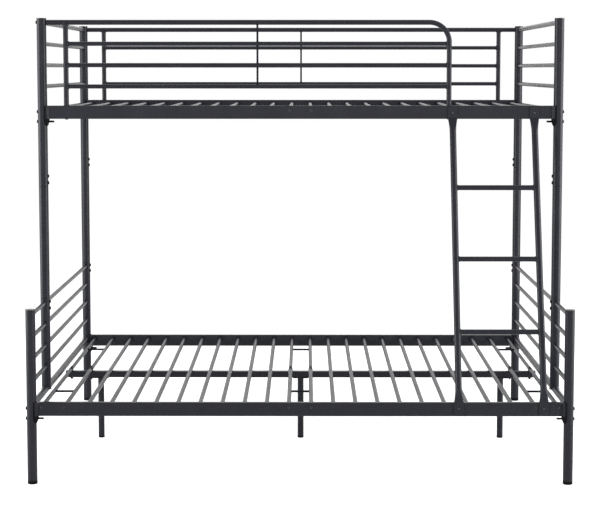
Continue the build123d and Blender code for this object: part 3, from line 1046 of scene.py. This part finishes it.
def feet():
    profile = [
        (0, 0),
        (post_r - 3.4, 0),
        (post_r - 1.6, 0.5),
        (post_r - 0.5, 1.8),
        (post_r, 3.8),
        (post_r, sleeve_top - 2.0),
        (post_r, sleeve_top - 0.6),
        (post_r - 0.5, sleeve_top),
        (plug_r, sleeve_top),
        (plug_r, sleeve_top + plug_length - 1),
        (plug_tip_r, sleeve_top + plug_length),
        (0, sleeve_top + plug_length),
    ]
    post_feet = Piece()
    for side in sides.values():
        for y in (full_front_y, rear_y):
            lathe(post_feet, Vector((side * post_x, y, 0)), Z, profile, post_sides)
    post_feet.done("post_foot_plugs", plastic, "plastic", ["post_feet"])

    profile = [
        (0, 0),
        (leg_r - 2.2, 0),
        (leg_r - 0.8, 0.6),
        (leg_r, 2.4),
        (leg_r, foot_height - 0.4),
        (leg_r - 0.4, foot_height),
        (0, foot_height),
    ]
    leg_feet = Piece()
    for x in leg_xs.values():
        lathe(leg_feet, Vector((x, 0, 0)), Z, profile, leg_foot_sides)
    leg_feet.done("leg_foot_plugs", plastic, "plastic", ["leg_feet"])


# Bolts and screws

def socket_head(piece, seat, outward, size):
    """A domed head with a six-sided socket."""
    radius, height = size
    u, v = across(outward)
    ease = min(radius * dome_r_share, height * dome_height_share)
    profile = [(radius, 0.0), (radius, head_rim)]
    for i in range(1, dome_steps + 1):
        turn = math.pi / 2 * i / dome_steps
        profile.append((radius - ease * (1 - math.cos(turn)), height - ease * (1 - math.sin(turn))))
    profile.append((radius * dome_top_share, height))
    rings = [circle(seat + outward * lift, u, v, r, head_sides) for r, lift in profile]
    turns = [math.tau * k / head_sides for k in range(head_sides)]
    flat_r = radius * socket_share * math.cos(math.pi / 6)
    socket = [flat_r / math.cos(t % (math.pi / 3) - math.pi / 6) for t in turns]
    for lift in (height, height - socket_depth):
        centre = seat + outward * lift
        rings.append([spoke(centre, u, v, r, t) for r, t in zip(socket, turns)])
    piece.loft(rings)


def thread(piece, start, way, length, radius=shank_r, pitch=shank_pitch):
    """A threaded shank, its ridges as close rings, with a chamfered tip."""
    root_r = radius * thread_root_share
    profile = [(0, 0), (root_r, 0)]
    for i in range(int(length / pitch) - 1):
        profile += [(root_r, i * pitch + 0.2), (radius, i * pitch + pitch * 0.6)]
    profile += [(root_r, length - 0.9), (radius * 0.6, length), (0, length)]
    lathe(piece, start, way, profile, thread_sides)


def nut(piece, seat, outward):
    """A six-sided nut with its corners eased."""
    u, v = across(outward)
    corner = nut_flats / math.sqrt(3)
    rings = []
    for grow, lift in ((0.94, 0.0), (1.0, 0.5), (1.0, nut_height - 0.6), (0.92, nut_height)):
        rings.append(circle(seat + outward * lift, u, v, corner * grow, 6))
    piece.loft(rings)


def bolts():
    rail = Piece()
    rows = (
        (full_front_y, lower_rail_z),
        (rear_y, lower_rail_z),
        (twin_front_y, upper_rail_z),
        (rear_y, upper_rail_z),
    )
    for side in sides.values():
        for y, z in rows:
            for rise in rail_bolt_rises:
                seat = Vector((side * (post_x + post_r), y, z + rise))
                socket_head(rail, seat - X * side * head_sunk, X * side, frame_head)
                far_end = Vector((side * (post_x + post_r - rail_bolt_far), y, z + rise))
                thread(rail, far_end, X * -side, rail_bolt_thread)
    rail.done("rail_bolt_set", bolt_steel, "bolt_steel", ["rail_bolts"])

    joint = Piece()
    for side in sides.values():
        for y in (twin_front_y, rear_y):
            for z, way in ((upper_seam_z, 1), (lower_seam_z, -1)):
                for rise in joint_bolt_rises:
                    seat = Vector((side * (post_x - post_r), y, z + way * rise))
                    socket_head(joint, seat + X * side * head_sunk, X * -side, frame_head)
    joint.done("post_joint_bolt_set", bolt_steel, "bolt_steel", ["post_joint_bolts"])

    guard = Piece()
    for side, y in ((-1, twin_front_y), (-1, rear_y), (1, rear_y)):
        seat = Vector((side * (post_x + post_r), y, guard_top_z))
        socket_head(guard, seat - X * side * head_sunk, X * side, frame_head)
    guard.done("guard_end_bolt_set", bolt_steel, "bolt_steel", ["guard_end_bolts"])

    step = Piece()
    for x in stile_xs:
        for y, z in ((twin_front_y, stile_top_z), (full_front_y, stile_foot_z)):
            seat = Vector((x, y - rail_thick / 2 - plate_thick, z))
            socket_head(step, seat + Y * step_head_sunk, -Y, step_head)
    step.done("ladder_bolt_set", screw_coat, "bolt_steel", ["ladder_bolts"])


def small_fasteners():
    """Screws of the cross frames, the centre rail, the leg plates and the guards' feet."""
    middle_pair = frame_pairs["middle"]
    rows = (
        (full_front_y, -1, lower_slat_z, paired_slats),
        (rear_y, 1, lower_slat_z, paired_slats),
        (twin_front_y, -1, upper_slat_z, middle_pair),
        (rear_y, 1, upper_slat_z, middle_pair),
    )
    screws = Piece()
    for y, way, z, held in rows:
        for i in held:
            seat = Vector((slat_xs[i], y + way * (rail_thick / 2 - screw_sunk), z))
            socket_head(screws, seat, Y * way, slat_head)
    screws.done("rail_face_screws", screw_coat, "bolt_steel")

    ties = Piece()
    for i in paired_slats:
        seat = Vector((slat_xs[i], tie_y, lower_slat_z + inner_slat_r - tie_head_sunk))
        socket_head(ties, seat, Z, tie_head)
        under = Vector((slat_xs[i], tie_y, centre_rail_z + screw_sunk))
        lathe(ties, under, -Z, tie_washer, tube_sides)
        nut(ties, under - Z * tie_nut_drop, -Z)
        thread(ties, under - Z * tie_end_drop, -Z, tie_end_length, tie_shank_r, tie_pitch)
    for x in leg_xs.values():
        for side in sides.values():
            seat = Vector((x + side * leg_screw_x, 0, centre_rail_z - leg_plate_thick + screw_sunk))
            socket_head(ties, seat, -Z, leg_plate_head)
    ties.done("centre_rail_screws", bolt_steel, "bolt_steel")

    foot_screws = Piece()
    front_xs = (-guard_upright_x, guard_end_x)
    rear_xs = (-guard_upright_x, guard_upright_x)
    for y, xs in ((twin_front_y, front_xs), (rear_y, rear_xs)):
        for x in xs:
            seat = Vector((x, y, upper_rail_z + screw_sunk))
            socket_head(foot_screws, seat, -Z, guard_foot_head)
    foot_screws.done("guard_foot_screws", bolt_steel, "bolt_steel")


end_frames()
post_extensions()
side_rails()
slats()
centre_support()
guards()
ladder()
caps()
feet()
bolts()
small_fasteners()


# Floor, light and camera, in metres
scene = bpy.context.scene
floor_half = 14.0
floor_tones = (0.62, 0.62, 0.62), (0.66, 0.66, 0.66)
floor_glow = 0.61
sky_light = 0.62
sky_seen = 1.0


def seen_rays(tree):
    """One for the rays that show the backdrop: straight, mirrored or through something clear."""
    path = tree.nodes.new("ShaderNodeLightPath")
    value = path.outputs["Is Camera Ray"]
    for name in ("Is Glossy Ray", "Is Transmission Ray"):
        value = combine(tree, "MAXIMUM", value, path.outputs[name]).outputs[0]
    return value


def seen_or_not(tree, plain, seen, output):
    """Joins the shader that lights the bed and the one that shows as the backdrop."""
    mix = tree.nodes.new("ShaderNodeMixShader")
    link(tree, seen_rays(tree), mix.inputs[0])
    link(tree, plain.outputs[0], mix.inputs[1])
    link(tree, seen.outputs[0], mix.inputs[2])
    link(tree, mix.outputs[0], output.inputs[0])


def pale_floor():
    mesh = bpy.data.meshes.new("floor")
    corners = [(x * floor_half, y * floor_half, 0) for x, y in ((-1, -1), (1, -1), (1, 1), (-1, 1))]
    mesh.from_pydata(corners, [], [(0, 1, 2, 3)])
    floor = bpy.data.objects.new("floor", mesh)
    scene.collection.objects.link(floor)
    material = bpy.data.materials.new("floor_pale")
    mesh.materials.append(material)
    tree = nodes_of(material)
    output = tree.nodes.new("ShaderNodeOutputMaterial")
    matt = tree.nodes.new("ShaderNodeBsdfDiffuse")
    coords = tree.nodes.new("ShaderNodeTexCoord").outputs["Object"]
    tone = spread(tree, noise_field(tree, coords, 1.5), 0.3, 0.7, 0.0, 1.0)
    link(tree, blend_colours(tree, tone, *floor_tones), matt.inputs["Color"])
    glow = tree.nodes.new("ShaderNodeEmission")
    glow.inputs["Strength"].default_value = floor_glow
    both = tree.nodes.new("ShaderNodeAddShader")
    link(tree, matt.outputs[0], both.inputs[0])
    link(tree, glow.outputs[0], both.inputs[1])
    seen_or_not(tree, matt, both, output)


def white_backdrop():
    world = bpy.data.worlds.new("studio")
    scene.world = world
    tree = nodes_of(world)
    output = tree.nodes.new("ShaderNodeOutputWorld")
    plain = tree.nodes.new("ShaderNodeBackground")
    seen = tree.nodes.new("ShaderNodeBackground")
    for shader, strength in ((plain, sky_light), (seen, sky_seen)):
        shader.inputs["Color"].default_value = (1, 1, 1, 1)
        shader.inputs["Strength"].default_value = strength
    seen_or_not(tree, plain, seen, output)


def lamp(name, place, target, width, height, power):
    data = bpy.data.lights.new(name, "AREA")
    data.shape = "RECTANGLE"
    data.size, data.size_y = width, height
    data.energy = power
    lit = bpy.data.objects.new(name, data)
    scene.collection.objects.link(lit)
    lit.location = place
    lit.rotation_euler = (Vector(target) - Vector(place)).to_track_quat("-Z", "Y").to_euler()


def camera():
    data = bpy.data.cameras.new("camera")
    data.sensor_width = 36.0
    data.lens = 90.242
    data.shift_x = 0.0
    data.shift_y = -0.10
    data.clip_end = 100
    made = bpy.data.objects.new("camera", data)
    scene.collection.objects.link(made)
    made.location = (0.0185, -6.0597, 1.5007)
    made.rotation_euler = (math.radians(90 - 4.69), 0, math.radians(0.197))
    scene.camera = made


pale_floor()
white_backdrop()
lamp("top_softbox", (0, 0.6, 4.2), (0, 0, 0.8), 4.5, 3.5, 90)
lamp("left_softbox", (-4.2, -1.3, 1.4), (0, -1.1, 1.2), 3.4, 3.0, 285)
lamp("right_softbox", (4.2, -1.3, 1.4), (0, -1.1, 1.2), 3.4, 3.0, 310)
lamp("front_softbox", (0, -7.6, 1.9), (0, 0, 1.4), 7.0, 2.4, 100)
lamp("back_softbox", (0, 6.2, 2.0), (0, 0, 0.8), 7.0, 3.0, 18)
camera()
scene.view_settings.view_transform = "Standard"
